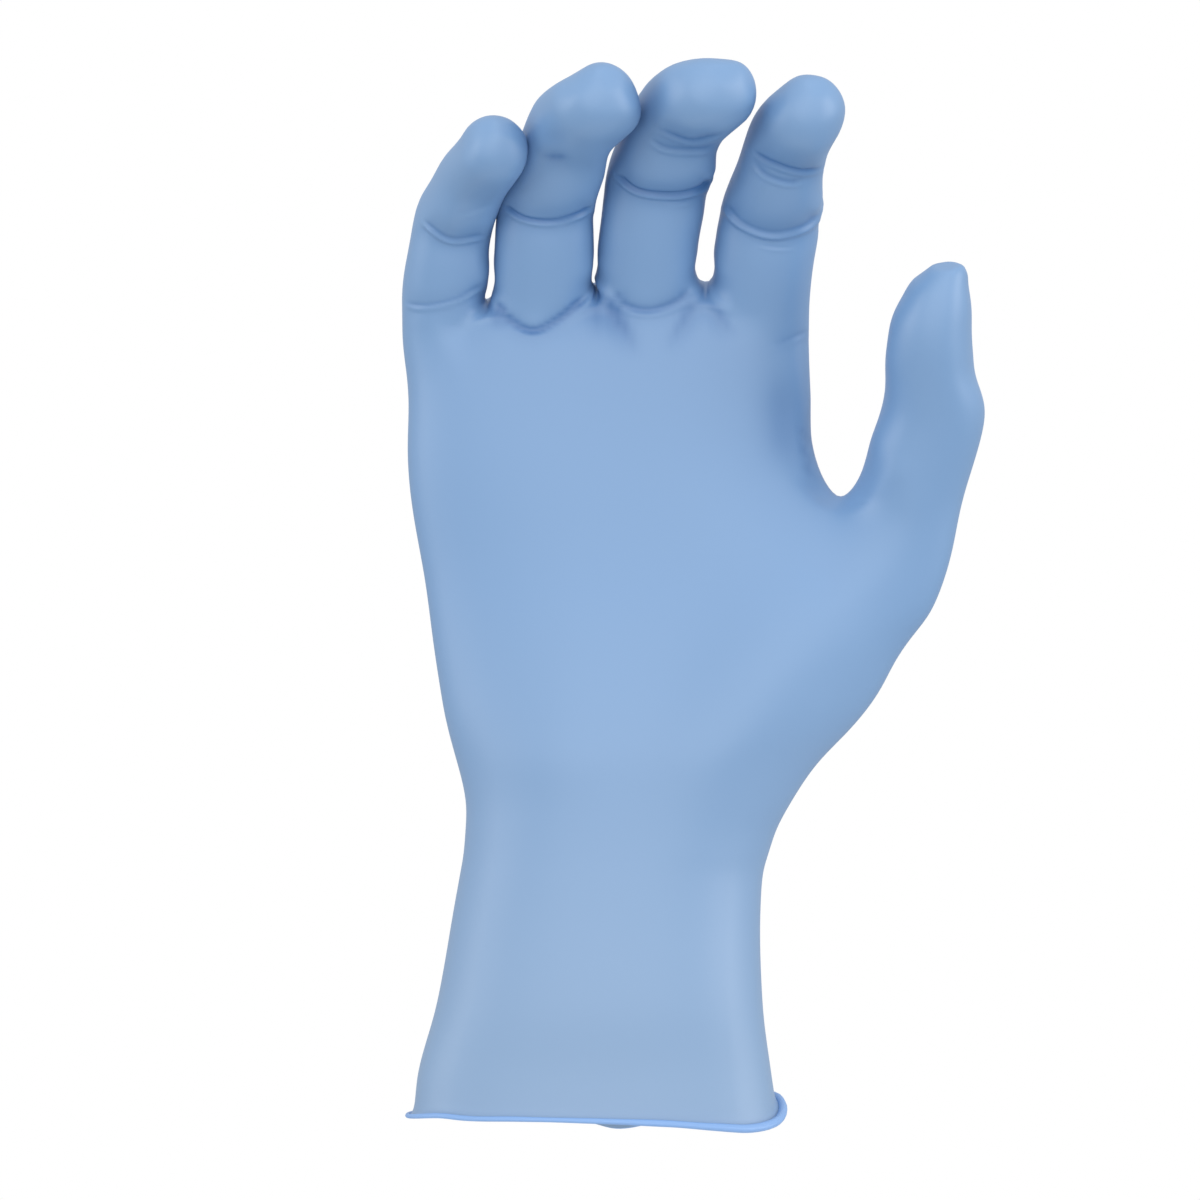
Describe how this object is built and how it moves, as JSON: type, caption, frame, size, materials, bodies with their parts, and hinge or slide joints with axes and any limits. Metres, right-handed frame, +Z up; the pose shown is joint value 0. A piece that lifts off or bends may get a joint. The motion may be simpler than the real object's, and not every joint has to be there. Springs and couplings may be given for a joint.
{
  "type": "nitrile exam glove",
  "caption": "Thin stretch nitrile glove in the shape of a worn right hand, hollow and open at its beaded cuff, to cover a hand.",
  "frame": {"origin": "middle of the wrist opening, in the plane of the cuff's rim", "axes": "+Z up the hand towards the fingers, -Y out of the palm, +X towards the thumb"},
  "size_m": [0.1171, 0.0658, 0.2125],
  "materials": {
    "nitrile": "pale blue smooth matt film with a soft sheen"
  },
  "bodies": {
    "root": {"glove": "nitrile"}
  },
  "joints": []
}
